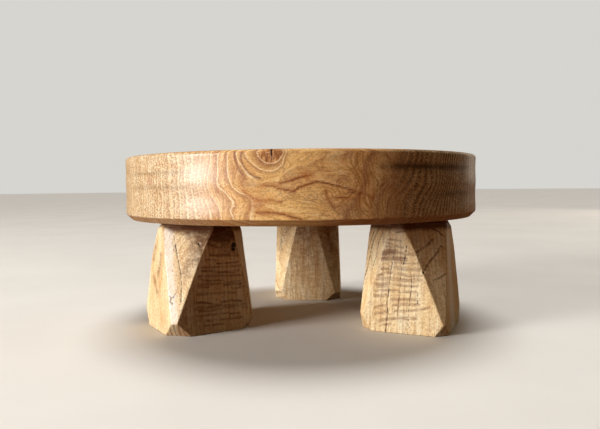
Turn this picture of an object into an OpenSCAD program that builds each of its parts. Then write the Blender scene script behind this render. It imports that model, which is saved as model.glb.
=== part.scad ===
// Round solid-oak cake stand: one thick turned slab on three hand-cut block feet.
// Each foot is glued to the slab's underside and located by two fluted dowels.
// Millimetres. The origin is on the floor under the slab's centre, and +Z is up.

/* [Slab] */
// Diameter of the round slab
slab_d = 300; // [270:5:340]
// Thickness of the slab
slab_t = 50; // [44:1:60]
// Radius of the softened top edge
slab_round = 2.5; // [1:0.5:4]
// Width and height of the bevel round the underside
slab_bevel = 4.5; // [2:0.5:8]

/* [Feet] */
// Height of the feet, floor to slab
foot_h = 88; // [70:1:110]
// Radius that rounds over the top edge of each side
foot_round = 8; // [5:0.5:9]

/* [Dowels] */
// Nominal diameter of a dowel and of its holes
dowel_d = 10; // [8:1:10]
// Length of a dowel, half in the slab and half in the foot
dowel_len = 40; // [30:2:50]
// Distance between the two dowels of one foot
dowel_pitch = 24; // [20:1:24]

/* [Hidden] */
$fn = 64;

// The feet are cut by hand, so each has its own sizes:
//   PLACE: direction and distance of the foot's axis from the slab's axis
//   TWIST: turn of its outer side away from that direction
//   SIDES: distance of each side from the foot's axis, [at the floor, at the top],
//     anticlockwise from the side that looks outward
//   CORNERS: the same for the corner facets, and the radius that rounds over each
//     one's top edge. Facet k lies between side k and the next
//   TOES: how far each corner is cut away at the floor, [back, up]
PLACE = 0;
TWIST = 1;
SIDES = 2;
CORNERS = 3;
TOES = 4;
FRONT_LEFT = [[-153, 97], 5,
    [[34.5, 30], [34.5, 33.5], [34.5, 31.5], [34.5, 31]],
    [[49, 23, 8], [50, 35, 8], [49, 30, 10], [49, 28.5, 16]],
    [[11, 11], [8, 9], [7, 9], [10, 14]]];
FRONT_RIGHT = [[-29, 102], 5,
    [[35, 30], [36, 32], [34, 31], [34, 34]],
    [[50, 32, 16], [49, 29, 10], [48.5, 28.5, 8], [49.5, 25, 8]],
    [[8, 13], [7, 9], [8.5, 13], [7, 9]]];
REAR = [[85, 86], 0,
    [[33.5, 31], [32.5, 32], [33.5, 31.5], [33.5, 31]],
    [[45, 29, 10], [43, 26.5, 8], [45.5, 27, 8], [44, 28, 10]],
    [[6, 10], [6.5, 9], [8, 8], [6, 8]]];

dowel_slack = 0.05;         // glue film round a dowel
hole_spare = 1;             // glue room beyond each end of a dowel
dowel_end_bevel = 1;        // bevel on the ends of a dowel
flute_count = 12;           // glue grooves along a dowel
flute_r = 0.6;
round_tilts = [22, 45, 68]; // tilts of the flats that make up a foot's rounded top edge
reach = 250;                // larger than any foot

stand_h = foot_h + slab_t;
slab_r = slab_d / 2;
dowel_r = dowel_d / 2 - dowel_slack;
hole_len = dowel_len + 2 * hole_spare;

// The space behind a plane. The plane passes at this distance from the Z axis, at this
// height, and its outward normal looks along the azimuth, tilted up from level.
module behind(azimuth, distance, height, tilt) {
    rotate([0, 0, azimuth])
        translate([distance, 0, height])
            rotate([0, -tilt, 0])
                translate([-reach, -reach / 2, -reach / 2])
                    cube(reach);
}

// The space behind one flat of a foot and behind the rounded edge above it. span is the
// flat's distance from the foot's axis, [at the floor, at the top].
module behind_flat(azimuth, span, edge_r) {
    intersection() {
        behind(azimuth, span[0], 0, atan((span[0] - span[1]) / foot_h));
        intersection_for (tilt = round_tilts)
            behind(azimuth, span[1] - edge_r * (1 - cos(tilt)),
                foot_h - edge_r * (1 - sin(tilt)), tilt);
    }
}

// The space behind the cut that takes away a corner at the floor.
module behind_toe(azimuth, span, toe) {
    lean = (span[0] - span[1]) / foot_h;
    behind(azimuth, span[0] - toe[0], 0, -atan(toe[0] / toe[1] - lean));
}

module foot_block(foot) {
    intersection() {
        translate([-reach / 2, -reach / 2, 0])
            cube([reach, reach, foot_h]);
        intersection_for (k = [0:3])
            intersection() {
                behind_flat(90 * k, foot[SIDES][k], foot_round);
                behind_flat(90 * k + 45, foot[CORNERS][k], foot[CORNERS][k][2]);
                behind_toe(90 * k + 45, foot[CORNERS][k], foot[TOES][k]);
            }
    }
}

module at_place(foot) {
    rotate([0, 0, foot[PLACE][0]])
        translate([foot[PLACE][1], 0, 0])
            children();
}

// side is 1 for the dowel nearer the slab's rim and -1 for the one nearer its centre.
module at_dowel(foot, side) {
    at_place(foot)
        translate([side * dowel_pitch / 2, 0, foot_h])
            children();
}

module dowel_holes(foot) {
    for (side = [-1, 1])
        at_dowel(foot, side)
            cylinder(h = hole_len, d = dowel_d, center = true);
}

module slab_profile() {
    polygon([[0, foot_h], [slab_r - slab_bevel, foot_h], [slab_r, foot_h + slab_bevel],
        [slab_r, stand_h - slab_round], [slab_r - slab_round, stand_h], [0, stand_h]]);
    translate([slab_r - slab_round, stand_h - slab_round])
        circle(r = slab_round);
}

module top_slab() {
    color("burlywood")
        difference() {
            rotate_extrude($fn = 128)
                slab_profile();
            dowel_holes(FRONT_LEFT);
            dowel_holes(FRONT_RIGHT);
            dowel_holes(REAR);
        }
}

module oak_foot(foot) {
    color("tan")
        difference() {
            at_place(foot)
                rotate([0, 0, foot[TWIST]])
                    foot_block(foot);
            dowel_holes(foot);
        }
}

module dowel_body() {
    rotate_extrude()
        polygon([[0, -dowel_len / 2], [dowel_r - dowel_end_bevel, -dowel_len / 2],
            [dowel_r, dowel_end_bevel - dowel_len / 2],
            [dowel_r, dowel_len / 2 - dowel_end_bevel],
            [dowel_r - dowel_end_bevel, dowel_len / 2], [0, dowel_len / 2]]);
}

module fluted_dowel(foot, side) {
    color("wheat")
        at_dowel(foot, side)
            difference() {
                dowel_body();
                for (k = [0:flute_count - 1])
                    rotate([0, 0, 360 * k / flute_count])
                        translate([dowel_r, 0, 0])
                            cylinder(h = dowel_len + 1, r = flute_r, center = true, $fn = 16);
            }
}

module front_left_foot() { oak_foot(FRONT_LEFT); }
module front_right_foot() { oak_foot(FRONT_RIGHT); }
module rear_foot() { oak_foot(REAR); }
module front_left_outer_dowel() { fluted_dowel(FRONT_LEFT, 1); }
module front_left_inner_dowel() { fluted_dowel(FRONT_LEFT, -1); }
module front_right_outer_dowel() { fluted_dowel(FRONT_RIGHT, 1); }
module front_right_inner_dowel() { fluted_dowel(FRONT_RIGHT, -1); }
module rear_outer_dowel() { fluted_dowel(REAR, 1); }
module rear_inner_dowel() { fluted_dowel(REAR, -1); }

top_slab();
front_left_foot();
front_right_foot();
rear_foot();
front_left_outer_dowel();
front_left_inner_dowel();
front_right_outer_dowel();
front_right_inner_dowel();
rear_outer_dowel();
rear_inner_dowel();
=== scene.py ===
"""The looks of a round solid-oak cake stand: a thick turned slab on three hand-cut block feet.

Lengths in this script are millimetres, until mesh_object() turns them into metres.
A field is a function of position in the solid wood, so grain runs through every piece from
face to face, and the slab's figure bends round the knot at its front edge.
"""
import itertools
import math

import bmesh
import bpy
import numpy as np
from mathutils import Euler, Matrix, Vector
from mathutils.geometry import delaunay_2d_cdt


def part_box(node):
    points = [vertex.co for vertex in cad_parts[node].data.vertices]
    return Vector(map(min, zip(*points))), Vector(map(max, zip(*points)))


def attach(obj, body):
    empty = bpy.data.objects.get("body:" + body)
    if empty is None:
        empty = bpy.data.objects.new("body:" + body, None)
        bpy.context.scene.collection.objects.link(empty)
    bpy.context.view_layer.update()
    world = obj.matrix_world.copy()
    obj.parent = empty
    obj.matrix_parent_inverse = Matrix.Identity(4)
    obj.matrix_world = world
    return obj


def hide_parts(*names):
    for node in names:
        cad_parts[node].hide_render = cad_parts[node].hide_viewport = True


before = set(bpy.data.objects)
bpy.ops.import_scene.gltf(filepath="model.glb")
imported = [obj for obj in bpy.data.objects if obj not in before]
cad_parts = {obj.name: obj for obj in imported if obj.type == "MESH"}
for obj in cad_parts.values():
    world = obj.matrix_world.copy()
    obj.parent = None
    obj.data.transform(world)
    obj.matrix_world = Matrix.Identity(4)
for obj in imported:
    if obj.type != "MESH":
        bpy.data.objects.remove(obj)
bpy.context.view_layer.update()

MM = 0.001


# ------------ numbers and noise

def smoothstep(low, high, value):
    """0 below low, 1 above high, and a smooth rise between. low may be the larger."""
    t = np.clip((value - low) / (high - low), 0, 1)
    return t * t * (3 - 2 * t)


def hump(value, centre, width):
    """1 at the centre, falling off smoothly over the width on both sides."""
    return np.exp(-((value - centre) / width) ** 2)


def lattice(cells, seed):
    """A repeatable random number from -1 to 1 for each cell of a 3D grid."""
    mixed = cells[:, 0] * 73856093 ^ cells[:, 1] * 19349663 ^ cells[:, 2] * 83492791
    mixed = (mixed ^ seed * 2654435761) & 0xFFFFFFFF
    mixed = (mixed ^ (mixed >> 13)) * 1274126177 & 0xFFFFFFFF
    mixed = mixed ^ (mixed >> 16)
    return (mixed & 0xFFFF) / 32767.5 - 1


def noise(points, lengths, seed):
    """Smooth random values from -1 to 1, whose lumps have the given lengths along X, Y, Z."""
    scaled = points / np.array(lengths, float)
    cells = np.floor(scaled).astype(np.int64)
    part = scaled - cells
    part = part * part * (3 - 2 * part)
    total = np.zeros(len(points))
    for corner in itertools.product((0, 1), repeat=3):
        weight = np.prod(np.where(corner, part, 1 - part), axis=1)
        total += weight * lattice(cells + np.array(corner), seed)
    return total


def line_gap(points, line):
    """The distance from 2D points to a line through a few places."""
    line = np.array(line, float)
    gap = np.full(len(points), np.inf)
    for a, b in zip(line, line[1:]):
        t = np.clip((points - a) @ (b - a) / ((b - a) @ (b - a)), 0, 1)
        gap = np.minimum(gap, np.linalg.norm(points - a - t[:, None] * (b - a), axis=1))
    return gap


# ------------ mesh helpers

class Shell:
    """A closed mesh that is put together from grids and filled caps, in millimetres."""

    def __init__(self):
        self.points = []
        self.faces = []

    def add_points(self, points):
        first = len(self.points)
        self.points.extend(map(tuple, points))
        return list(range(first, len(self.points)))

    def add_tube(self, rows):
        """Joins each ring of points to the next one with quads. Rings run anticlockwise,
        and the side that looks outward is the one on which they rise."""
        rings = [self.add_points(row) for row in rows]
        for low, high in zip(rings, rings[1:]):
            for k in range(len(low)):
                n = (k + 1) % len(low)
                self.faces.append((low[k], low[n], high[n], high[k]))
        return rings

    def add_cap(self, loop, up, spacing, holes=()):
        """Fills a level loop of points with triangles, round any holes (loops too)."""
        outline = np.array([self.points[i] for i in loop])
        height = outline[:, 2].mean()
        fixed = list(loop)
        edges = [(k, (k + 1) % len(loop)) for k in range(len(loop))]
        inner = inside_points(outline[:, :2], spacing)
        circles = []
        for hole in holes:
            first = len(fixed)
            fixed += hole
            edges += [(first + k, first + (k + 1) % len(hole)) for k in range(len(hole))]
            rim = np.array([self.points[i][:2] for i in hole])
            centre = rim.mean(0)
            radius = np.linalg.norm(rim[0] - centre)
            circles.append((centre, radius))
            inner = inner[np.linalg.norm(inner - centre, axis=1) > radius + spacing / 2]
        index = fixed + self.add_points([(x, y, height) for x, y in inner])
        flat = [Vector(self.points[i][:2]) for i in index]
        verts, _, tris, origin, _, _ = delaunay_2d_cdt(flat, edges, [], 1, 1e-5)
        for tri in tris:
            middle = np.mean([tuple(verts[i]) for i in tri], axis=0)
            if any(np.linalg.norm(middle - centre) < radius for centre, radius in circles):
                continue
            face = [index[origin[i][0]] for i in tri]
            self.faces.append(tuple(face if up else reversed(face)))


def inside_points(outline, spacing):
    """A staggered grid of points inside a convex outline, clear of its edge."""
    low, high = outline.min(0), outline.max(0)
    rows = np.arange(low[1], high[1], spacing * math.sqrt(3) / 2)
    grid = np.array([(x + (k % 2) * spacing / 2, y)
                     for k, y in enumerate(rows) for x in np.arange(low[0], high[0], spacing)])
    edge = np.roll(outline, -1, axis=0) - outline
    normal = np.stack([edge[:, 1], -edge[:, 0]], 1)
    normal /= np.linalg.norm(normal, axis=1)[:, None]
    outside = (grid @ normal.T - (outline * normal).sum(1)).max(1)
    return grid[outside < -spacing * 0.6]


def filleted(corners, spacing):
    """Points along a line through (radius, height, fillet) corners, about spacing apart.
    The first and last corner stay sharp."""
    line = [np.array(corners[0][:2], float)]
    for before, corner, after in zip(corners, corners[1:], corners[2:]):
        at, fillet = np.array(corner[:2], float), corner[2]
        back = np.array(before[:2]) - at
        ahead = np.array(after[:2]) - at
        back, ahead = back / np.linalg.norm(back), ahead / np.linalg.norm(ahead)
        half = math.acos(np.clip(back @ ahead, -1, 1)) / 2
        reach = fillet / math.tan(half)
        middle = at + (back + ahead) / np.linalg.norm(back + ahead) * fillet / math.sin(half)
        start, end = at + back * reach - middle, at + ahead * reach - middle
        swing = math.pi - 2 * half
        steps = max(3, round(fillet * swing / spacing))
        for k in range(steps + 1):
            t = k / steps
            mix = math.sin((1 - t) * swing) * start + math.sin(t * swing) * end
            line.append(middle + mix / math.sin(swing))
    line.append(np.array(corners[-1][:2], float))
    points = [line[0]]
    for a, b in zip(line, line[1:]):
        steps = max(1, round(np.linalg.norm(b - a) / spacing))
        points += [a + (b - a) * k / steps for k in range(1, steps + 1)]
    return np.array(points)


def vertex_normals(points, faces):
    """Unit normals at the points of a mesh of triangles and quads."""
    normals = np.zeros_like(points)
    for size in (3, 4):
        some = np.array([f for f in faces if len(f) == size], int)
        if not len(some):
            continue
        a, b, c = points[some[:, 0]], points[some[:, 1]], points[some[:, -1]]
        across = np.cross(b - a, c - a)
        for k in range(size):
            np.add.at(normals, some[:, k], across)
    return normals / np.maximum(np.linalg.norm(normals, axis=1), 1e-12)[:, None]


def add_object(name, data):
    """Puts a new object in the scene."""
    added = bpy.data.objects.new(name, data)
    bpy.context.scene.collection.objects.link(added)
    return added


def mesh_object(name, points, faces, fields, material):
    """Makes the Blender object, in metres, with each field as a vertex attribute."""
    mesh = bpy.data.meshes.new(name)
    mesh.from_pydata((points * MM).tolist(), [], faces)
    for field, values in fields.items():
        layer = mesh.attributes.new(field, "FLOAT", "POINT")
        layer.data.foreach_set("value", values.astype(np.float32))
    mesh.shade_smooth()
    mesh.materials.append(material)
    return add_object(name, mesh)


# ------------ sizes read from the frame

def node_box(node):
    """A CAD node's lowest and highest corner, in millimetres."""
    low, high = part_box(node)
    return np.array(low) / MM, np.array(high) / MM


def dowel_axes(foot):
    """The (x, y) of the two dowels of a foot."""
    boxes = [node_box(f"{foot}_{place}_dowel") for place in ("outer", "inner")]
    return [((low + high) / 2)[:2] for low, high in boxes]


FEET = ("front_left", "front_right", "rear")
SLAB_LOW, SLAB_HIGH = node_box("top_slab")
RIM_R = SLAB_HIGH[0]
UNDER_Z = SLAB_LOW[2]
TOP_Z = SLAB_HIGH[2]
DOWEL_LOW, DOWEL_HIGH = node_box("rear_outer_dowel")
GLUE_FILM = 0.05  # round a dowel
GLUE_ROOM = 1  # past each end of a dowel
HOLE_R = (DOWEL_HIGH - DOWEL_LOW)[0] / 2 + GLUE_FILM
HOLE_DEPTH = (DOWEL_HIGH - DOWEL_LOW)[2] / 2 + GLUE_ROOM
INSET = 0.05  # the rim and the feet's sides stay this far inside the CAD shape
EDGE_ROUND = 2.5  # the slab's top edge
EDGE_BEVEL = 4.5  # and the edge of its underside
CROWN_Z = 116.8  # the rim is turned in faintly crowned bands: the middle of one,
CROWN_GAP = 21  # the distance from each to the next,
CROWN_DEPTH = 0.3  # and how deep the turning goes between them
RIM_STEPS = 920  # points round the rim


# ------------ the slab's figure

RING_GAP = 2.9  # distance between growth rings where the figure is quiet
HEART = (190, 104)  # the tree's heart: (y, z) of a line along X
KNOT = (-19.5, 136.5)  # the knot's centre on the rim: (distance along it, height)

# The knot's rings: number, radius, and how much nearer they are on its right than its left.
KNOT_RINGS = ((-0.6, 0, 0), (0.2, 4.4, 0), (1, 8.8, 0), (1.9, 12.8, 0.24))
KNOT_STEPS = 12  # places on each of them

# Contour lines of the rings on the front of the rim: the ring's number, then places on it as
# (distance along the rim from the front, height).
FIGURE = (
    (2.6, (-7, 128), (-1, 131), (7, 134), (13, 138)),
    (3, (-42, 137), (-42, 133), (-40, 127), (-37, 123), (-32, 119.5), (-27, 118), (-20, 118),
        (-9, 123), (-1, 126), (9, 129), (20, 134)),
    (3.15, (-13, 116), (-6, 118), (0, 120), (9, 123), (20, 127), (32, 134)),
    (3.3, (-25, 114), (-17, 114), (-10, 113), (0, 116), (9, 118), (20, 119), (32, 119)),
    (3.4, (-14, 111), (-4, 111), (2, 114), (9, 115), (17, 115), (23, 113), (33, 111)),
    (3.55, (-43, 116), (-37, 111), (-29, 106), (-21, 105), (-12, 104), (-4, 104)),
    (3.65, (-27, 98), (-20, 97), (-12, 96), (-6, 94), (0, 92)),
    (3.75, (-26, 91), (-14, 90)),
    (4, (-48, 137), (-49, 131), (-49, 124), (-47, 118), (-42, 111), (-37, 108), (-33, 105),
        (-32, 100), (-33, 92)),
    (3.6, (4, 104), (8, 99), (9, 93)),
    (3.85, (18, 109), (20, 104), (21, 99), (22, 92)),
    (4.5, (58, 136), (50, 124), (45, 113), (41, 104), (38, 98), (37, 92)),
    (5, (-54, 137), (-56, 122), (-55, 114), (-51, 110), (-48, 106), (-46, 103), (-47, 98),
        (-44, 92)),
    (5, (72, 136), (62, 118), (55, 112), (51, 106), (49, 98), (50, 92)),
    (5.4, (-58, 137), (-60, 122), (-58, 110), (-51, 101), (-49, 95)),
    (6.2, (-61, 137), (-64, 122), (-62, 108), (-56, 99), (-55, 92)),
    (7, (84, 136), (80, 122), (73, 112), (66, 104), (63, 96), (63, 91)),
    (8, (-72, 137), (-74, 122), (-73, 107), (-69, 92)),
    (10, (97, 137), (97, 124), (95, 111), (89, 104), (85, 97), (84, 91)),
    (12.6, (110, 137), (109, 129), (107, 114), (100, 104), (95, 97), (93, 91)),
)


def plain_rings(points):
    """The ring number where nothing disturbs the grain: arcs round a heart far behind the
    slab, along X, wider in good years and narrower in dry ones."""
    x, y, z = points.T
    sway = 0.9 * np.sin(x / 55 + 0.7) + 0.5 * np.sin(x / 23 + z / 40)
    lean = 0.16 * np.maximum(z - 118, 0) * smoothstep(60, 110, -x) * smoothstep(140, 60, np.abs(y))
    grown = RIM_R + HEART[0] - np.hypot(y - HEART[0], z - HEART[1])
    count = (grown + lean) / RING_GAP + 0.35 * sway
    return 1.5 + count + 0.35 * np.sin(0.9 * count) + 0.8 * np.sin(0.37 * count)


def on_rim(along, height):
    """The point of the rim at a distance along it from the front, and a height."""
    turn = np.asarray(along) / RIM_R
    return np.stack([RIM_R * np.sin(turn), -RIM_R * np.cos(turn), np.asarray(height)], -1)


def kernel(a, b, reach=15):
    """How much two places on the rim share their figure."""
    gap = np.linalg.norm(a[:, None] - b[None], axis=2) / reach
    return (1 + gap) * np.exp(-gap)


def figure_spots():
    """The places on the rim whose ring number is known, with how far it is off plain."""
    spots = []
    for number, *line in FIGURE:
        spots += [(s, z, number) for s, z in line]
    for number, radius, squeeze in KNOT_RINGS:
        steps = KNOT_STEPS if radius else 1
        for k in range(steps):
            turn = 2 * math.pi * (k + 0.5) / steps
            across = radius * (1 - squeeze * math.cos(turn)) * math.cos(turn)
            spots.append((KNOT[0] + across, KNOT[1] + radius * math.sin(turn), number))
    spots = np.array(spots)
    plain = plain_rings(on_rim(spots[:, 0], spots[:, 1]))
    return spots[:, :2], spots[:, 2] - plain


SPOTS, SHIFTS = figure_spots()
# A little slack keeps the field smooth where two of the lines come close.
WEIGHTS = np.linalg.solve(kernel(SPOTS, SPOTS) + 1e-4 * np.eye(len(SPOTS)), SHIFTS)


def along_and_depth(points):
    """How far along the rim points are from the front, and how deep inside it."""
    x, y, _ = points.T
    return RIM_R * np.arctan2(x, -y), np.maximum(RIM_R - np.hypot(x, y), 0)


def slab_rings(points):
    """The ring number at points of the slab."""
    along, depth = along_and_depth(points)
    # The knot runs inward and tapers, so its rings reach deeper than the rest of the figure.
    carry = np.exp(-depth / (14 + 30 * hump(along, KNOT[0], 26)))
    shift = np.zeros(len(points))
    active = (carry > 0.01) & (np.abs(along) < 200)
    place = np.stack([along, points[:, 2]], 1)
    shift[active] = kernel(place[active], SPOTS) @ WEIGHTS
    return plain_rings(points) + carry * shift


# Marks on the rim, as lines through (distance along it, height).
CHECK = ((-18.4, 140), (-18.6, 136), (-18.3, 133.5))
SPLITS = (
    ((-18.3, 133.5), (-19.5, 131), (-18.6, 126)),
    ((-18.1, 133), (-16.8, 131), (-15.6, 128)),
    ((-22, 135.8), (-20, 135.6)),
)
STREAKS = (
    ((-4, 129), (0, 130.5), (7, 132.7)),
    ((-23, 115.3), (-19, 115)),
    ((11, 118), (17, 116.8), (24, 115), (35, 112), (45, 108.5)),
    ((66, 123), (61, 118), (55, 112), (51, 106), (49, 98), (51, 92)),
    ((63, 117), (57, 111), (54, 105)),
    ((50, 126.3), (61, 126.3)),
    # This short one is a painted glint.
    ((64, 101.2), (64, 100)),
    ((-60, 137), (-61, 122)),
    ((-49, 101), (-50, 98), (-48, 96), (-45, 93)),
    ((-44, 101), (-38, 101), (-37, 98), (-40, 96), (-44, 96)),
    ((-43, 99), (-40, 99)),
)
UMBER = (
    ((-43, 137), (-43, 132), (-41, 126), (-38, 122)),
    ((-38, 137), (-39, 132), (-37, 127), (-34, 123), (-30, 120), (-26, 119.4)),
)
REDDISH = (
    ((-4, 111.4), (0, 113.7), (4, 114.8), (10, 116.6), (17, 115.7), (23, 114), (35, 110.8),
        (42, 108.5), (48, 105.7)),
    ((-25, 114.3), (-17, 114.2), (-14, 112.3), (-9, 111.7), (-4, 110.3)),
    ((-13, 116), (-6, 117.6), (-1, 119.5), (8, 121.5)),
    ((-38, 111.5), (-34, 108), (-30, 106), (-26, 105), (-19, 105.3), (-12, 104.3)),
    ((-29, 97.4), (-20, 97.4), (-12, 96.3), (-7, 94.7), (0, 93)),
    ((31, 110), (38, 108.6)),
    ((16, 111), (17, 107), (19, 103), (21, 100)),
    ((21, 106.5), (29, 106.3), (35, 105.4)),
)

# Soft grey spots and reddish ones: distance along the rim, height and radius.
SMOKE = ((6, 107, 5), (-9, 109, 5), (22, 100, 4.5), (28, 97.5, 4.5), (36, 96, 4))
EMBER = ((3, 120.5, 4), (14, 95, 1.6), (-28, 103, 6), (-121, 119, 3), (-98, 112, 2))


def slab_fields(points, normals):
    """What the slab's material needs to know at each point: the ring number and how fast it
    changes, the distances in millimetres from some lines, and masks from 0 to 1."""
    rings = slab_rings(points)
    slope = np.zeros(len(points))
    for axis in np.eye(3):
        step = slab_rings(points + axis * 0.5) - rings
        slope += (step / 0.5) ** 2 * (1 - (normals @ axis) ** 2)
    x, y, z = points.T
    along, depth = along_and_depth(points)
    place = np.stack([along, z], 1)
    front = smoothstep(12, 2, depth) * (y < 0)
    # Wild is the stretch of the rim whose figure swirls, and lee is its side away from the window,
    #     # which is darkened as painted shade.
    wild = smoothstep(-72, -58, along) * smoothstep(78, 55, along) * front
    knot = np.hypot(along - KNOT[0], z - KNOT[1])
    taper = depth / 6
    round_knot = (0.8 * smoothstep(17.5, 15, knot) * smoothstep(5.5, 7, knot)
                  * smoothstep(-6, -9, along))
    shown = smoothstep(170, 135, np.abs(along))
    # Dark lines round the rim at a few heights: on its right near the turned grooves, faint on its
    # left.
    seams = np.max([hump(z, 126.5, 2.4) * smoothstep(44, 76, along),
                    0.5 * hump(z, 114.5, 1.1) * smoothstep(85, 125, along),
                    0.7 * hump(z, 107.5, 2.2) * smoothstep(80, 120, along)], axis=0)
    faint = np.maximum(hump(z, 124, 1.4), hump(z, 114, 1.6)) * smoothstep(-60, -90, along) * 0.3

    def off(lines):
        """The distance from the nearest of some lines on the front of the rim."""
        return np.min([line_gap(place, line) for line in lines], axis=0) + 50 * (y >= 0) + depth

    def spots(places):
        """Soft oval spots on the front of the rim."""
        shades = [hump(along, s, r * 1.3) * hump(z, h, r) for s, h, r in places]
        return front * np.max(shades, axis=0)

    return {
        "rings": rings,
        "ring_rate": np.sqrt(np.maximum(slope, 1e-4)),
        "wild": wild,
        "pale_lines": wild * np.maximum(smoothstep(-26, -34, along), round_knot),
        "heart": smoothstep(9.6 - taper, 8.2 - taper, knot) * smoothstep(50, 40, depth) * (y < 0),
        "knot_edge": smoothstep(15, 9, knot) * smoothstep(30, 10, depth) * (y < 0),
        "end_grain": np.abs(x) / RIM_R * smoothstep(0.95, 0.75, np.abs(normals[:, 2])),
        "reddish": off(REDDISH),
        "umber": off(UMBER),
        "streak": off(STREAKS),
        "smoke": spots(SMOKE),
        "lee": smoothstep(40, 95, along) * smoothstep(290, 150, along) * smoothstep(12, 2, depth),
        "sunny": hump(along, -8, 30) * wild,
        # painted shade on the bevel of the underside
        "under": smoothstep(UNDER_Z + EDGE_BEVEL + 0.3, UNDER_Z + EDGE_BEVEL - 0.8, z),
        "ember": spots(EMBER),
        "seams": np.maximum(seams, faint) * shown * smoothstep(10, 2, depth),
        "check": line_gap(place, CHECK) + 50 * (y > 0) + smoothstep(18, 24, depth) * 9,
        "split": off(SPLITS),
    }


# ------------ the slab's shape

def slab_shape():
    """The turned slab as a closed mesh, with its blind dowel holes."""
    shell = Shell()
    profile = filleted((
        (RIM_R - EDGE_BEVEL - 3, UNDER_Z, 0),
        (RIM_R - EDGE_BEVEL, UNDER_Z, 0.5),
        (RIM_R - INSET, UNDER_Z + EDGE_BEVEL, 0.8),
        (RIM_R - INSET, TOP_Z, EDGE_ROUND),
        (RIM_R - EDGE_ROUND - 4, TOP_Z, 0)), 1.05)
    crowned = (profile[:, 1] > UNDER_Z + EDGE_BEVEL) & (profile[:, 1] < TOP_Z - EDGE_ROUND)
    swell = 0.5 - 0.5 * np.cos(2 * math.pi * (profile[:, 1] - CROWN_Z) / CROWN_GAP)
    profile[:, 0] -= CROWN_DEPTH * swell * crowned
    turns = np.arange(RIM_STEPS) * 2 * math.pi / RIM_STEPS
    rows = [np.stack([r * np.cos(turns), r * np.sin(turns), np.full(RIM_STEPS, z)], 1)
            for r, z in profile]
    rings = shell.add_tube(rows)
    shell.add_cap(rings[-1], True, 2.1)
    mouths = [add_hole(shell, x, y, UNDER_Z, HOLE_DEPTH)
              for foot in FEET for x, y in dowel_axes(foot)]
    shell.add_cap(rings[0], False, 3.2, mouths)
    return shell


def add_hole(shell, x, y, mouth_z, depth, sides=24):
    """A round blind hole, upward from mouth_z, or downward where depth is negative. Returns
    the loop of points round its mouth."""
    turns = np.arange(sides) * 2 * math.pi / sides
    circle = np.stack([x + HOLE_R * np.cos(turns), y + HOLE_R * np.sin(turns)], 1)
    heights = sorted((mouth_z, mouth_z + depth / 2, mouth_z + depth), reverse=True)
    loops = shell.add_tube([np.column_stack([circle, np.full(sides, z)]) for z in heights])
    if depth > 0:
        shell.faces.append(tuple(reversed(loops[0])))
        return loops[-1]
    shell.faces.append(tuple(loops[-1]))
    return loops[0]
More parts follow.
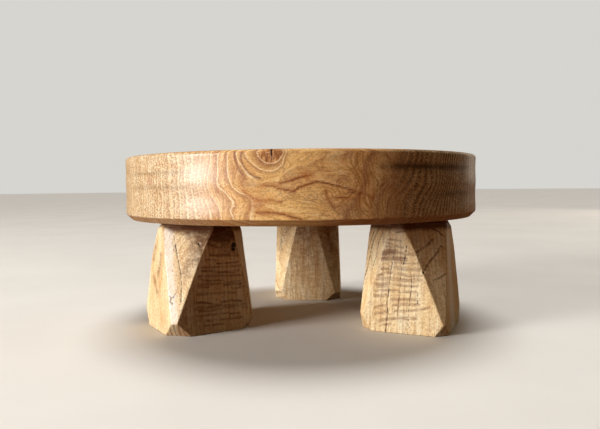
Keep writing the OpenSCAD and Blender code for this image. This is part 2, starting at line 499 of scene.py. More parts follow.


# ------------ the feet

# Marks on the faces of the feet, by kind and the face's azimuth. Each is its width, then its
# points as (distance to the right of the face's middle, seen from outside, and height).
# Saw marks are strong and scratches faint. Pale is painted light where a face catches a lamp,
# dark is painted shade under the slab, and the wide, soft kind is painted shade on the faces
# turned from the window.
MARKS = {
    "front_left": {
        ("crack", -103): (
            (0.9, (-8, 76), (-6, 70), (-3, 62), (0, 53), (2.5, 45), (3.6, 36), (4.2, 27)),
            (0.4, (-9, 74), (-6.5, 66), (-2.3, 59))),
        ("stain", -103): (
            (0.9, (-6, 31), (-4, 29.5), (-5, 27), (-2.5, 25.5)),
            (0.7, (-1, 33), (-2.5, 30)),
            (1.0, (11, 74), (16, 72.5)),
            (1.0, (11.5, 70.5), (17, 69))),
        ("knot", -103): ((0.8, (14, 70), (15, 69)),),
        ("dark", -103): ((11, (3, 88), (14, 80), (22, 68), (23, 57)),),
        # The first of these bruises also stands in for painted shade under the slab, beside the
        # dark mark.
        ("bruise", -103): (
            (5, (8, 76), (10, 62), (6, 48)),
            (3, (-10, 80), (4, 80))),
        ("pale", -103): ((5, (-13, 78), (-10, 54), (-5, 34), (-1, 14)),),
        ("bruise", -148): (
            (3, (-8, 70), (-14, 56)),
            (3, (4, 60), (-2, 44)),
            (3, (-12, 40), (-2, 30))),
        ("knot", -58): ((2.8, (18, 67.8), (18.2, 65.2)),),
        ("gloom", -58): ((60, (-70, 88), (-70, 0)),),
        ("dark", -58): ((9, (-8, 78), (8, 77), (26, 77)),),
        ("bruise", -58): (
            (5, (10, 66), (20, 64)),
            (4, (-6, 80), (6, 79), (18, 76)),
            (2, (-4, 74), (4, 76), (10, 74.5), (15, 71)),
            (2, (-4, 70), (2, 67.5), (9, 65))),
        ("saw", -58): (
            (1.3, (-2, 61.5), (6, 60.5), (14, 60), (21, 59.5)),
            (0.7, (-6, 58), (4, 57)),
            (0.8, (3, 54.5), (12, 54), (21, 54)),
            (1.0, (-9, 49.5), (-2, 49), (6, 47.2), (14, 46.6), (22, 47)),
            (0.8, (-10, 43), (-4, 41.5), (4, 41), (12, 39.5)),
            (0.8, (-12, 37), (-4, 36.5)),
            (0.9, (9, 36.8), (17, 37), (24, 36.4)),
            (0.8, (15, 34), (20, 33.4), (26, 34)),
            (1.0, (-14, 25.6), (-8, 25), (0, 22.5), (6, 21.6)),
            (1.0, (6, 23.6), (16, 23.8), (24, 22.8)),
            (1.0, (-12, 18.6), (-4, 18.3), (6, 18)),
            (0.8, (14, 13.6), (22, 13.2)),
            (0.8, (-8, 6.8), (2, 6.2), (8, 6.6))),
        ("scratch", -58): (
            (0.8, (-9, 52.2), (6, 51.4), (24, 50.8)),
            (0.8, (-12, 45.6), (8, 44.4), (26, 43.2)),
            (1.0, (-13, 39.2), (2, 38.8), (23, 38.2)),
            (0.8, (-14, 31.6), (6, 31), (19, 30)),
            (1.3, (-15, 21), (4, 20), (27, 19.4)),
            (0.8, (-14, 15.2), (12, 14.4)),
            (0.8, (-6, 10.4), (24, 9.4))),
    },
    "front_right": {
        ("crack", -114): (
            (0.9, (-4.6, 66), (-5.1, 63.6), (-6.2, 54.8), (-7.7, 48.1), (-8.6, 38),
                (-9.4, 31), (-10.6, 23.5), (-9.8, 15), (-11.2, 8), (-11.7, 1)),
            (1.0, (4.8, 68), (4, 61), (2.4, 54)),
            (0.8, (8.8, 46), (8.4, 34.5), (7.2, 27), (6, 16), (5.8, 7)),
            (0.6, (1.2, 51), (-0.3, 40), (-0.5, 30), (-2.8, 14)),
            (0.6, (13.5, 33), (13, 24)),
            (0.5, (-8.5, 79), (-11.5, 72), (-15, 62))),
        ("stain", -114): ((0.9, (-3, 78), (1, 78.6), (5, 79.4)),),
        ("bruise", -114): (
            (2.6, (-12, 62), (-6, 63)),
            (1.4, (-13, 57.5), (0, 57.5))),
        ("bruise", -159): ((2, (-9, 82), (12, 80)),),
        ("scratch", -114): (
            (0.7, (-10, 72.5), (-5, 72.2), (0, 71.5)),
            (0.7, (-11, 69.8), (-6, 69)),
            (0.8, (-11, 67), (-3, 67.4), (2, 66.5)),
            (1.0, (-3, 63), (4, 61.3), (11, 61.6)),
            (1.0, (-4, 58.3), (4, 57.3)),
            (0.6, (-4, 54.8), (6, 54.6), (15, 54.8)),
            (1.2, (-4, 50.8), (5, 50), (16, 50.4)),
            (0.8, (-15, 49.3), (-9, 49.6)),
            (1.0, (-17, 44), (-12, 46.4), (-7, 47)),
            (1.0, (-2, 46.3), (6, 45), (16, 46)),
            (1.2, (-18, 41.5), (-8, 42), (4, 41.3), (16, 42.3)),
            (1.8, (-18, 36.6), (-9, 37.4)),
            (0.8, (-6, 38.2), (6, 37), (13, 37.4)),
            (1.0, (-20, 32.2), (-11, 32.8)),
            (0.8, (-9, 33.3), (2, 32.6), (12, 33)),
            (1.1, (-20, 28), (-11, 29)),
            (1.0, (-7, 26), (3, 26.8), (14, 27.3)),
            (0.9, (-6, 21.6), (4, 23), (14, 23.4)),
            (0.9, (-20, 19), (-11, 21.5)),
            (1.0, (-20, 13.8), (-11, 16.6)),
            (0.8, (-4, 17.5), (6, 18), (16, 20), (22, 22)),
            (1.0, (-17, 8.6), (-8, 11), (2, 12.2), (12, 13)),
            (0.7, (-16, 5.2), (-8, 7))),
        ("saw", -114): (
            (2.6, (-13, 61.5), (-9, 63), (-5, 63)),
            (1.8, (-14, 57), (-8, 58), (4, 57.5))),
        ("stain", -69): (
            (1.1, (0.9, 71.6), (-5, 67.5), (-9, 66), (-15, 63)),
            (1.0, (11, 64.6), (7.7, 66.8), (2, 60.4), (-4.2, 56.2), (-9.7, 50)),
            (0.9, (8, 46.1), (3, 43.6), (-4.6, 41.6)),
            (1.0, (4, 80), (9, 77), (12, 74))),
        ("knot", -69): ((0.8, (-11.6, 48.4), (-11, 48)),),
        ("crack", -159): ((0.7, (9, 80), (6, 70), (6, 58), (3, 46)),),
        ("stain", -159): (
            (1.0, (0, 80), (-4, 66), (-4, 50), (-7, 36)),
            (0.8, (-6, 78), (-9, 62))),
        ("gloom", -69): ((55, (-62, 88), (-62, 0)),),
        ("pale", -24): ((10, (-5, 72), (-5, 8)),),
    },
    "rear": {
        ("stain", -95): ((1.2, (-8, 78), (-3, 79), (5, 78)),),
        ("gloom", -95): ((28, (4, 84), (4, 74)),),
        ("bruise", -140): (
            (6, (6, 80), (0, 66)),
            (3, (-6, 66), (-4, 50))),
        ("gloom", -50): ((20, (0, 84), (0, 70)),),
        ("bruise", -50): ((4, (-4, 80), (0, 50)),),
    },
}

SMOOTH = {"front_left": (-148,), "front_right": (-24,), "rear": (-5,)}  # faces with no saw marks
SPREAD = {"crack": 0.8, "saw": 0.9, "scratch": 1.2, "stain": 1.1, "knot": 1, "bruise": 1,
          "dark": 1, "gloom": 1, "pale": 1}     # how wide a mark shows, for its width in MARKS
DEEP_SHADE_SQUEEZE = 0.4  # the painted deep shade reaches further up and down than sideways
WINDOW_AZIMUTH = -152  # the light comes from here, and reaches further under the slab, where the painted shade is narrower
FOOT_STEPS = 500  # points round a foot
FOOT_ROWS = 188  # rows of points from the floor to the slab
EDGE_SHARPNESS = 240  # higher makes a foot's edges crisper


def foot_planes(node):
    """The flat faces of a foot's CAD solid, as outward normals and distances from the origin.
    It is convex apart from its bores, so a bore's faces have some of the foot before them."""
    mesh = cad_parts[node].data
    points = np.array([vertex.co for vertex in mesh.vertices]) / MM
    planes = {}
    for face in mesh.polygons:
        normal = np.array(face.normal)
        distance = normal @ points[face.vertices[0]]
        if (points @ normal - distance).max() < 0.02:
            planes.setdefault(tuple(np.round(normal, 2)), (normal, distance))
    normals, distances = zip(*planes.values())
    return np.array(normals), np.array(distances)


def azimuths_of(normals):
    """The directions that faces look in, in degrees anticlockwise from X."""
    return np.degrees(np.arctan2(normals[:, 1], normals[:, 0]))


def angle_apart(a, b):
    return np.abs((a - b + 180) % 360 - 180)


def reach_of(planes, middle, turns, height):
    """How far a foot's surface is from its axis in each direction, at one height. The
    planes are joined with softened edges."""
    normals, distances = planes
    inverse = np.zeros((len(normals), len(turns)))
    heading = np.stack([np.cos(turns), np.sin(turns)])
    for k, (normal, distance) in enumerate(zip(normals, distances)):
        toward = normal[:2] @ heading
        room = distance - normal[:2] @ middle - normal[2] * height
        inverse[k] = np.maximum(toward, 0) / np.maximum(room, 0.05)
    largest = inverse.max(0)
    total = ((inverse / largest) ** EDGE_SHARPNESS).sum(0)
    return 1 / (largest * total ** (1 / EDGE_SHARPNESS))


def foot_side(planes, middle, bottom, top):
    """The side of a foot as rows of points round it, which are closer together at its ends."""
    turns = np.arange(FOOT_STEPS) * 2 * math.pi / FOOT_STEPS
    t = np.arange(FOOT_ROWS) / (FOOT_ROWS - 1)
    crowd = 0.06 * np.sin(2 * math.pi * t) + 0.0175 * np.sin(4 * math.pi * t)
    rows = []
    for height in bottom + (top - bottom) * (t - crowd):
        wear = 0.5 * max(0, 1 - (height - bottom) / 0.8) ** 2
        reach = reach_of(planes, middle, turns, height) - INSET - wear
        rows.append(np.stack([middle[0] + reach * np.cos(turns),
                              middle[1] + reach * np.sin(turns),
                              np.full(FOOT_STEPS, height)], 1))
    return np.concatenate(rows)


def saw_marks(azimuth, rng):
    """Faint saw marks all the way up one face, as (kind, azimuth, width, points)."""
    height = 5
    marks = []
    while height < 74:
        left, right = sorted(rng.uniform(-24, 24, 2))
        rise = rng.uniform(-0.5, 0.5)
        if right - left > 6:
            marks.append(("scratch", azimuth, rng.uniform(0.4, 0.8), (left, height),
                          (right, height + rise)))
        height += rng.uniform(1.6, 4.2)
    return marks


def marks_of(name, normals, seed):
    """A foot's marks, with faint saw marks on its upright faces that have none of their own."""
    rng = np.random.default_rng(seed)
    marks = [(kind, azimuth, *mark)
             for (kind, azimuth), group in MARKS[name].items() for mark in group]
    taken = np.array([azimuth for _, azimuth in MARKS[name]] + list(SMOOTH[name]))
    for azimuth in azimuths_of(normals)[np.abs(normals[:, 2]) < 0.1]:
        if angle_apart(azimuth, taken).min() > 5:
            marks += saw_marks(azimuth, rng)
    return marks


def foot_marks(points, middle, planes, marks):
    """How strongly each kind of mark shows at the points of a foot, from 0 to 1."""
    normals, distances = planes
    steep = np.abs(normals[:, 2]) < 0.35
    normals, distances = normals[steep], distances[steep]
    face = np.argmax(points @ normals.T - distances, axis=1)
    shown = {kind: np.zeros(len(points)) for kind in SPREAD}
    for kind, azimuth, width, *line in marks:
        which = np.argmin(angle_apart(azimuths_of(normals), azimuth))
        on = face == which
        sideways = np.array([-normals[which, 1], normals[which, 0]])
        sideways = sideways / np.linalg.norm(sideways)
        flat = np.stack([(points[on][:, :2] - middle) @ sideways, points[on][:, 2]], 1)
        shape = np.array([1, DEEP_SHADE_SQUEEZE if kind == "gloom" else 1])
        strength = hump(line_gap(flat * shape, line * shape), 0, width * SPREAD[kind])
        shown[kind][on] = np.maximum(shown[kind][on], strength)
    scratch = 0.75 * smoothstep(0.12, 0.6, shown.pop("scratch"))
    shown["saw"] = np.maximum(smoothstep(0.12, 0.6, shown["saw"]), scratch)
    return shown


def under_slab(points, top):
    """The band of painted shade round the top of a foot, under the slab. It is narrow where the
    rim is close by on the side of the window, whose light comes in under it."""
    turn = math.radians(WINDOW_AZIMUTH)
    flat = points[:, :2]
    along = flat @ np.array([math.cos(turn), math.sin(turn)])
    room = np.sqrt(np.maximum(along ** 2 + RIM_R ** 2 - (flat ** 2).sum(1), 0)) - along
    band = 4 + 7 * smoothstep(17, 32, room) + 0.8 * noise(points, (6, 6, 30), 5)
    return smoothstep(top - band, top - band + 4.5, points[:, 2])


def make_foot(name, seed):
    """One foot: the CAD block with softened edges, hand-tool marks and drying cracks."""
    node = f"{name}_foot"
    bottom, top = (corner[2] for corner in node_box(node))
    planes = foot_planes(node)
    axes = dowel_axes(name)
    middle = np.mean(axes, axis=0)
    side = foot_side(planes, middle, bottom, top)
    shown = foot_marks(side, middle, planes, marks_of(name, planes[0], seed))

    lumps = 0.5 + 0.5 * noise(side, (11, 11, 16), seed)
    ragged = 0.5 + 0.5 * noise(side, (3.4, 3.4, 1.6), seed + 1)
    depth = (0.28 * lumps + 0.15 * shown["saw"] * ragged + 0.1 * shown["crack"]
             + 0.9 * shown["knot"] + 0.08 * shown["stain"] * ragged)
    depth *= smoothstep(bottom, bottom + 1.5, side[:, 2]) * smoothstep(top, top - 3, side[:, 2])
    outward = side - np.array([*middle, 0])
    outward[:, 2] = 0
    outward /= np.linalg.norm(outward, axis=1)[:, None]
    side = side - outward * depth[:, None]

    shell = Shell()
    rings = shell.add_tube(side.reshape(FOOT_ROWS, FOOT_STEPS, 3))
    mouths = [add_hole(shell, x, y, top, -HOLE_DEPTH) for x, y in axes]
    shell.add_cap(rings[-1], True, 2.5, mouths)
    shell.add_cap(rings[0], False, 2.5)
    points = np.array(shell.points)
    unmarked = np.zeros(len(points) - len(side))
    fields = {kind: np.concatenate([values * (0.4 + 0.6 * ragged), unmarked])
              for kind, values in shown.items()}
    pith = np.array([*(middle + np.array([math.cos(seed), math.sin(seed)]) * 42), 0])
    bend = 2.2 * noise(points, (40, 40, 60), seed + 2)
    fields["rings"] = (np.hypot(*(points - pith)[:, :2].T) + bend + 0.05 * points[:, 2]) / 3.6
    normals = vertex_normals(points, shell.faces)
    fields["end_grain"] = smoothstep(0.3, 0.75, np.abs(normals[:, 2]))
    fields["shade"] = under_slab(points, top)
    foot = mesh_object(f"oak_{node}", points, shell.faces, fields, foot_oak(name))
    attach(foot, "root")
    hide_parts(node)


# ------------ materials

def linear(red, green, blue):
    """A colour as it looks on a screen, 0 to 255, as the linear values that Blender mixes."""
    values = [channel / 255 for channel in (red, green, blue)]
    return tuple(v / 12.92 if v < 0.04045 else ((v + 0.055) / 1.055) ** 2.4
                 for v in values) + (1,)


class Graph:
    """Short ways to write the nodes of one material, whose colour is painted in layers. A
    value is a socket, a number or the name of a field."""

    def __init__(self, name):
        self.material = bpy.data.materials.new(name)
        self.material.use_nodes = True
        self.tree = self.material.node_tree
        self.surface = self.tree.nodes["Principled BSDF"]
        self.colour = None

    def put(self, value, socket):
        if isinstance(value, str):
            value = self.field(value)
        if isinstance(value, bpy.types.NodeSocket):
            self.tree.links.new(value, socket)
        else:
            socket.default_value = value

    def node(self, kind, *values, out=0, **settings):
        """Adds a node, and puts the values on its inputs in order."""
        node = self.tree.nodes.new("ShaderNode" + kind)
        for setting, choice in settings.items():
            setattr(node, setting, choice)
        for value, socket in zip(values, node.inputs):
            self.put(value, socket)
        return node.outputs[out]

    def field(self, name):
        return self.node("Attribute", out=2, attribute_name=name)

    def math(self, operation, *values):
        return self.node("Math", *values, operation=operation)

    def product(self, *values):
        result = values[0]
        for value in values[1:]:
            result = self.math("MULTIPLY", result, value)
        return result

    def place(self, *lengths):
        """Position in the solid, divided by these lengths in millimetres along X, Y, Z."""
        position = self.node("TexCoord", out=3)
        factors = tuple(1 / (length * MM) for length in lengths)
        return self.node("VectorMath", position, factors, operation="MULTIPLY")

    def noise(self, vector, detail=2.0, roughness=0.5, distortion=0.0):
        node = self.tree.nodes.new("ShaderNodeTexNoise")
        inputs = {"Vector": vector, "Scale": 1, "Detail": detail, "Roughness": roughness,
                  "Distortion": distortion}
        for name, value in inputs.items():
            self.put(value, node.inputs[name])
        return node.outputs["Fac"]

    def step(self, value, low, high, out_low=0.0, out_high=1.0):
        """A smooth step from out_low to out_high as the value goes from low to high."""
        return self.node("MapRange", value, low, high, out_low, out_high,
                         interpolation_type="SMOOTHSTEP")

    def colours(self, value, *stops):
        """A colour for the value, through (position, screen colour) stops."""
        node = self.tree.nodes.new("ShaderNodeValToRGB")
        ramp = node.color_ramp
        while len(ramp.elements) < len(stops):
            ramp.elements.new(1)
        for element, (position, colour) in zip(ramp.elements, stops):
            element.position = position
            element.color = linear(*colour)
        self.put(value, node.inputs["Fac"])
        return node.outputs["Color"]

    def blend(self, amount, under, over):
        node = self.tree.nodes.new("ShaderNodeMix")
        node.data_type = "RGBA"
        self.put(amount, node.inputs["Factor"])
        self.put(under, node.inputs["A"])
        self.put(over, node.inputs["B"])
        return node.outputs["Result"]

    def paint(self, colour, *amounts):
        """Lays a screen colour over what is there, by the product of the amounts."""
        self.colour = self.blend(self.product(*amounts), self.colour, linear(*colour))

    def finish(self, roughness, bumps):
        """Joins up the surface. bumps are (height, depth in mm), the largest first."""
        self.put(self.colour, self.surface.inputs["Base Color"])
        self.put(roughness, self.surface.inputs["Roughness"])
        normal = None
        for height, depth in bumps:
            node = self.tree.nodes.new("ShaderNodeBump")
            self.put(height, node.inputs["Height"])
            self.put(depth * MM, node.inputs["Distance"])
            if normal:
                self.put(normal, node.inputs["Normal"])
            normal = node.outputs["Normal"]
        self.put(normal, self.surface.inputs["Normal"])
        return self.material


def lacquer(g, weight, roughness):
    """A clear coat over the wood."""
    g.put(weight, g.surface.inputs["Coat Weight"])
    g.put(roughness, g.surface.inputs["Coat Roughness"])
    g.put(0.3, g.surface.inputs["Specular IOR Level"])


def slab_oak():
    """Oak that shows end grain at the left and right of the slab, and a wild figure in front."""
    g = Graph("slab_oak")
    rings = g.field("rings")
    wild = g.field("wild")
    end_grain = g.field("end_grain")
    tame = g.math("SUBTRACT", 1, wild)
    wander = g.noise(g.place(30, 7, 7), 3)
    ripple = g.noise(g.place(6, 1.6, 1.6), 2)
    speck = g.noise(g.place(2.0, 0.8, 1.15), 2, 0.6)
    grit = g.noise(g.place(1.4, 1.1, 1.1), 3, 0.7)
    fibre = g.noise(g.place(16, 0.8, 0.8), 3, 0.6)
    blotch = g.noise(g.place(34, 13, 13), 3, 0.55)
    patch = g.noise(g.place(11, 6, 6), 3, 0.6)
    strength = g.step(g.noise(g.place(20, 8, 8), 2), 0.35, 0.6, 0.35, 1)

    # How far through its ring a place is, and how many millimetres off the nearest ring line.
    bent = g.math("ADD", rings, g.product(g.math("SUBTRACT", ripple, 0.5), 0.13))
    turn = g.math("FRACT", bent)
    near = g.math("SUBTRACT", g.math("FRACT", g.math("ADD", bent, 0.5)), 0.5)
    gap = g.math("DIVIDE", near, g.math("MAXIMUM", "ring_rate", 0.16))
    off = g.math("ABSOLUTE", gap)

    honey = g.colours(blotch, (0.30, (206, 146, 78)), (0.5, (230, 172, 102)),
                      (0.70, (246, 196, 130)))
    cream = g.colours(patch, (0.32, (216, 184, 136)), (0.5, (232, 207, 163)),
                      (0.66, (246, 227, 190)))
    g.colour = g.blend(g.step(end_grain, 0.25, 0.62), honey, cream)

    # The figure of the front: soft streaks that follow the rings, and fine ones in them.
    drift = g.math("DIVIDE", wander, 0.5)
    swirl = g.noise(g.node("CombineXYZ", g.product(rings, 4.2), drift, blotch), 4, 0.62)
    along_rings = g.node("CombineXYZ", 0, drift, g.product(rings, 13))
    thread = g.noise(g.node("VectorMath", g.place(16, 2, 2), along_rings, operation="ADD"), 4, 0.7)
    g.paint((164, 100, 46), g.step(swirl, 0.42, 0.64), wild, 0.66)
    g.paint((255, 214, 150), g.step(swirl, 0.46, 0.30), wild, 0.5)
    # Painted light: a brighter pool on the front round the knot, where the dark threads are
    # fainter.
    g.paint((255, 208, 132), "sunny", 0.85)
    calm = g.step("sunny", 0.2, 0.9, 0.56, 0.38)
    g.paint((158, 94, 42), g.step(thread, 0.50, 0.60), wild, calm)
    g.paint((255, 226, 166), g.step(thread, 0.47, 0.37), wild, 0.55)
    years = g.noise(g.node("CombineXYZ", g.product(rings, 0.55), blotch), 2)
    late = g.product(g.step(turn, 0.2, 0.95), tame, g.step(years, 0.35, 0.6, 0.3, 1))
    g.paint((176, 120, 70), late, 0.34)

    grain = g.noise(g.place(1.5, 4, 4), 3, 0.65, 0.6)
    knot = g.colours(grain, (0.38, (110, 60, 28)), (0.5, (182, 118, 66)),
                     (0.62, (226, 172, 112)))
    g.paint((146, 86, 46), "knot_edge", 0.5)
    g.colour = g.blend(g.product("heart", 0.92), g.colour, knot)

    # A dark band beside each ring line of the front, and the line itself, pale near the knot.
    dark = g.product(g.step(gap, 0.3, 0.9), g.step(gap, 3.0, 1.2), strength, wild)
    g.paint((160, 104, 78), dark, 0.45)
    g.paint((126, 74, 56), g.step("umber", 1.5, 0.5), 0.72)
    pale = g.product(g.step(off, 0.54, 0.14), g.step(patch, 0.35, 0.55, 0.6, 0.95))
    g.paint((255, 228, 180), pale, "pale_lines")
    g.paint((250, 216, 166), g.step(off, 0.46, 0.1), strength, wild, 0.16)

    # The darker, redder lines that cross the front, the pale streaks, and the soft spots.
    wobble = g.product(g.math("SUBTRACT", patch, 0.54), 2)
    red = g.math("ADD", "reddish", g.math("MAXIMUM", wobble, 0))
    g.paint((176, 92, 36), g.step(red, 2.4, 0.6), 0.5)
    g.paint((104, 44, 14), g.step(red, 0.95, 0.35), 0.82)
    g.paint((252, 214, 160), g.step("streak", 0.8, 0.2), 0.6)
    g.paint((140, 122, 118), g.step(grit, 0.42, 0.58), "smoke", 0.45)
    g.paint((176, 92, 36), "ember", g.step(patch, 0.35, 0.55), 0.6)

    # Open pores: short dashes along the grain, and dots in rows where it is cut across.
    fine_rows = g.math("ABSOLUTE", g.math("SUBTRACT", g.math("FRACT", g.product(bent, 2)), 0.5))
    rows = g.math("ADD", g.product(g.step(off, 0.9, 0.2), 0.4),
                  g.step(fine_rows, 0.40, 0.14, 0.06, 0.66))
    dots = g.product(g.step(speck, 0.42, 0.52), rows, tame)
    dashes = g.step(fibre, 0.56, 0.68)
    # Painted shade on the lee side, away from the window, and its ring lines: grain, drawn darker
    # as painted shade.
    g.paint((112, 82, 44), "lee", 0.34)
    g.paint((62, 36, 16), g.step(off, 1.1, 0.2), tame, strength, "lee")
    g.paint((120, 74, 42), dots, g.step(end_grain, 0.1, 0.5, 0.4, 0.95))
    g.paint((148, 92, 46), dashes, g.step(end_grain, 0.7, 0.3, 0.05, 0.42))
    g.paint((160, 104, 58), g.step(grit, 0.50, 0.66), 0.48)
    g.paint((255, 236, 196), g.step(grit, 0.48, 0.32), g.step(end_grain, 0.3, 0.6, 0.2, 0.75))

    g.paint((248, 224, 192), g.step("split", 0.6, 0.2), 0.85)
    g.paint((34, 14, 16), g.step("check", 0.8, 0.35))
    # Dark lines round the rim at a few heights.
    g.paint((80, 54, 28), "seams", g.step(wander, 0.3, 0.6, 0.5, 0.95))
    # Painted shade on the bevel of the underside.
    g.paint((138, 92, 52), "under", 0.55)

    shine = g.math("ADD", g.product(fibre, 0.16), g.product(grit, 0.22))
    roughness = g.math("ADD", shine, 0.22)
    pits = g.math("SUBTRACT", 1, g.math("MAXIMUM", dots, g.product(dashes, 0.3)))
    lacquer(g, 0.3, 0.24)
    return g.finish(roughness, ((wander, 0.5), (pits, 0.10), (grit, 0.07)))


def foot_oak(name):
    """Paler oak with upright grain, and the marks that foot_marks() finds."""
    g = Graph(f"{name}_foot_oak")
    end_grain = g.field("end_grain")
    blotch = g.noise(g.place(9, 9, 30), 3, 0.55)
    fibre = g.noise(g.place(0.8, 0.8, 14), 3, 0.6)
    speck = g.noise(g.place(1.0, 1.0, 2.2), 2, 0.6)
    grit = g.noise(g.place(1.4, 1.4, 1.4), 3, 0.7)
    wander = g.noise(g.place(8, 8, 40), 3)
    teeth = g.noise(g.place(11, 11, 0.55), 2, 0.6)

    g.colour = g.colours(blotch, (0.30, (226, 186, 130)), (0.5, (248, 220, 168)),
                         (0.70, (255, 240, 202)))
    bent = g.math("ADD", "rings", g.product(g.math("SUBTRACT", speck, 0.5), 0.16))
    turn = g.math("FRACT", bent)
    late = g.product(g.step(turn, 0.4, 0.95), g.step(turn, 1.0, 0.96))
    g.paint((176, 120, 68), late, g.step(wander, 0.35, 0.6, 0.1, 0.42))
    g.paint((158, 104, 56), g.step(fibre, 0.54, 0.68), 0.46)
    g.paint((255, 236, 194), g.step(fibre, 0.46, 0.32), 0.45)
    g.paint((150, 98, 54), g.step(speck, 0.54, 0.66), 0.42)
    g.paint((176, 122, 72), g.step(grit, 0.50, 0.66), 0.45)
    g.paint((255, 240, 204), g.step(grit, 0.48, 0.32), 0.45)
    # Painted light: a pale sheen where a face catches a lamp.
    g.paint((255, 248, 236), g.step("pale", 0.1, 0.6), g.step(fibre, 0.36, 0.6, 1, 0.5))
    g.paint((158, 106, 60), end_grain, 0.5)
    g.paint((84, 50, 26), g.step(turn, 0.35, 0.85), end_grain, 0.85)

    # Bruises and stains are soft and patchy; saw marks are ragged, with fine scratches.
    g.paint((122, 74, 38), "bruise", g.step(grit, 0.34, 0.6, 0.35, 0.9))
    saw = g.product("saw", g.step(teeth, 0.30, 0.52))
    g.paint((118, 62, 24), saw, 0.9)
    g.paint((92, 48, 22), g.step("stain", 0.2, 0.75), g.step(grit, 0.3, 0.55, 0.4, 1), 0.8)
    # Painted shade under the slab, where the dark marks are.
    dark = g.product(g.step("dark", 0.12, 0.65), g.step(grit, 0.66, 0.4, 0.7, 0.96))
    g.paint((82, 42, 11), dark)
    # Wide, soft painted shade on the faces turned from the window.
    g.paint((126, 64, 18), "gloom", g.step(fibre, 0.36, 0.6, 0.74, 1))
    # The band of painted shade round the top of each foot, under the slab.
    g.paint((88, 44, 10), "shade", g.step(teeth, 0.62, 0.42, 0.8, 0.98))
    g.paint((26, 14, 8), g.step("knot", 0.2, 0.6))
    g.paint((56, 28, 14), g.step("crack", 0.35, 0.8), g.step(speck, 0.3, 0.45, 0.5, 1))

    worn = g.math("ADD", g.product(fibre, 0.2), g.product(grit, 0.2))
    roughness = g.math("ADD", worn, g.step(g.math("ADD", "shade", dark), 0, 1, 0.26, 0.6))
    scars = g.math("SUBTRACT", 1, g.product(saw, 0.8))
    lacquer(g, 0.2, 0.3)
    return g.finish(roughness, ((wander, 0.4), (scars, 0.12), (grit, 0.12)))


def dowel_beech():
    """Plain pinkish wood with the short dark flecks of beech along the dowel."""
    g = Graph("dowel_beech")
    tone = g.noise(g.place(5, 5, 26), 3, 0.55)
    fleck = g.noise(g.place(0.5, 0.5, 2.6), 2, 0.6)
    fibre = g.noise(g.place(0.3, 0.3, 9), 3, 0.6)
    g.colour = g.colours(tone, (0.3, (204, 160, 116)), (0.7, (228, 190, 146)))
    g.paint((176, 126, 84), g.step(fibre, 0.54, 0.7), 0.35)
    g.paint((142, 92, 58), g.step(fleck, 0.58, 0.68), 0.6)
    roughness = g.math("ADD", g.product(fibre, 0.2), 0.45)
    return g.finish(roughness, ((fibre, 0.08), (fleck, 0.04)))


def pale_floor():
    """Pale where it is seen, and darker and browner in the light that it gives back."""
    g = Graph("pale_floor")
    soft = g.noise(g.place(160, 160, 160), 3)
    seen_colour = g.colours(soft, (0.3, (226, 222, 215)), (0.7, (232, 229, 222)))
    is_seen = g.node("LightPath")
    g.colour = g.blend(is_seen, linear(106, 62, 26), seen_colour)
    return g.finish(0.75, ((soft, 0.2),))


# ------------ pieces

def make_slab():
    """The slab, in place of the CAD one."""
    shell = slab_shape()
    points = np.array(shell.points)
    normals = vertex_normals(points, shell.faces)
    fields = slab_fields(points, normals)
    slab = mesh_object("oak_slab", points, shell.faces, fields, slab_oak())
    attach(slab, "root")
    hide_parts("top_slab")


def finish_dowels():
    """Gives the CAD dowels, which stay as they are, their wood."""
    wood = dowel_beech()
    for foot, place in itertools.product(FEET, ("outer", "inner")):
        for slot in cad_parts[f"{foot}_{place}_dowel"].material_slots:
            slot.material = wood


# ------------ floor, light and camera

def add_floor():
    """A level disc, far wider than the view."""
    mesh = bpy.data.meshes.new("floor")
    form = bmesh.new()
    bmesh.ops.create_circle(form, cap_ends=True, segments=96, radius=12)
    form.to_mesh(mesh)
    form.free()
    mesh.materials.append(pale_floor())
    floor = add_object("floor", mesh)


def add_light(name, power, size, turn, height, distance, tint, mirrored=True):
    """An area light of some watts that looks at the stand. turn is its direction seen from
    above, in degrees from the front towards the left; mirrored ones show in the gloss."""
    data = bpy.data.lights.new(name, "AREA")
    data.shape = "RECTANGLE"
    data.size, data.size_y = size
    data.energy = power
    data.color = tint
    light = add_object(name, data)
    turn = math.radians(turn)
    light.location = (-distance * math.sin(turn), -distance * math.cos(turn), height)
    aim = Vector((0, 0, (UNDER_Z + TOP_Z) / 2 * MM)) - light.location
    light.rotation_euler = aim.to_track_quat("-Z", "Y").to_euler()
    light.visible_glossy = mirrored


def add_skylight(strength, lean, spread):
    """Even soft light from above that leans in from the back, by an angle in degrees."""
    data = bpy.data.lights.new("skylight", "SUN")
    data.energy = strength
    data.angle = math.radians(spread)
    light = add_object("skylight", data)
    light.rotation_euler = (math.radians(-lean), 0, 0)
    light.visible_glossy = False


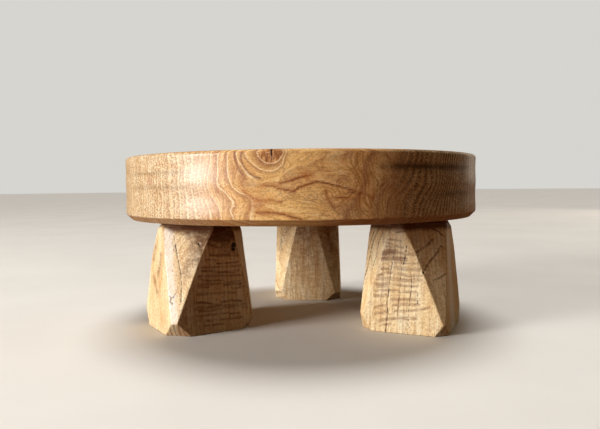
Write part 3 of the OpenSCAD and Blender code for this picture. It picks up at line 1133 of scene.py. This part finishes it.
def add_world():
    """A pale backdrop that adds only a little light of its own."""
    world = bpy.data.worlds.new("studio")
    world.use_nodes = True
    tree = world.node_tree
    shown = tree.nodes["Background"]
    shown.inputs["Color"].default_value = linear(214, 213, 208)
    shown.inputs["Strength"].default_value = 1
    fill = tree.nodes.new("ShaderNodeBackground")
    fill.inputs["Color"].default_value = linear(250, 192, 116)
    fill.inputs["Strength"].default_value = 0.066
    rays = tree.nodes.new("ShaderNodeLightPath")
    mix = tree.nodes.new("ShaderNodeMixShader")
    tree.links.new(rays.outputs["Is Camera Ray"], mix.inputs[0])
    tree.links.new(fill.outputs[0], mix.inputs[1])
    tree.links.new(shown.outputs[0], mix.inputs[2])
    tree.links.new(mix.outputs[0], tree.nodes["World Output"].inputs["Surface"])
    bpy.context.scene.world = world


def add_camera():
    """Low and close in front of the stand, nearly level."""
    data = bpy.data.cameras.new("camera")
    data.sensor_width = 36
    data.lens = 34.6
    camera = add_object("camera", data)
    camera.location = (0.00024, -0.51743, 0.11456)
    pitch, yaw, roll = -0.0507, 0.0022, -0.0099
    aim = Euler((math.pi / 2 + pitch, 0, yaw)).to_quaternion()
    camera.rotation_mode = "QUATERNION"
    camera.rotation_quaternion = aim @ Euler((0, 0, roll)).to_quaternion()
    bpy.context.scene.camera = camera


# ------------ the scene

add_camera()
add_world()
add_floor()
add_light("window", 54, (0.8, 0.85), 62, 0.5, 2.2, (1.0, 0.97, 0.93))
add_skylight(2.3, 14, 28)
add_light("window_gap", 9, (0.22, 0.5), 64, 0.42, 2.1, (1.0, 0.99, 0.97))
add_light("far_window", 2.8, (0.7, 1.0), -136, 0.6, 2.2, (1.0, 0.86, 0.70))
add_light("side_wall", 3.4, (0.9, 0.8), -95, 0.3, 2.0, (0.95, 1.0, 0.86), False)
add_light("glint", 1.8, (0.12, 0.4), 46, 0.48, 2.1, (1.0, 0.97, 0.94))
make_slab()
for seed, name in enumerate(FEET, 11):
    make_foot(name, seed)
finish_dowels()
bpy.context.scene.view_settings.view_transform = "Standard"
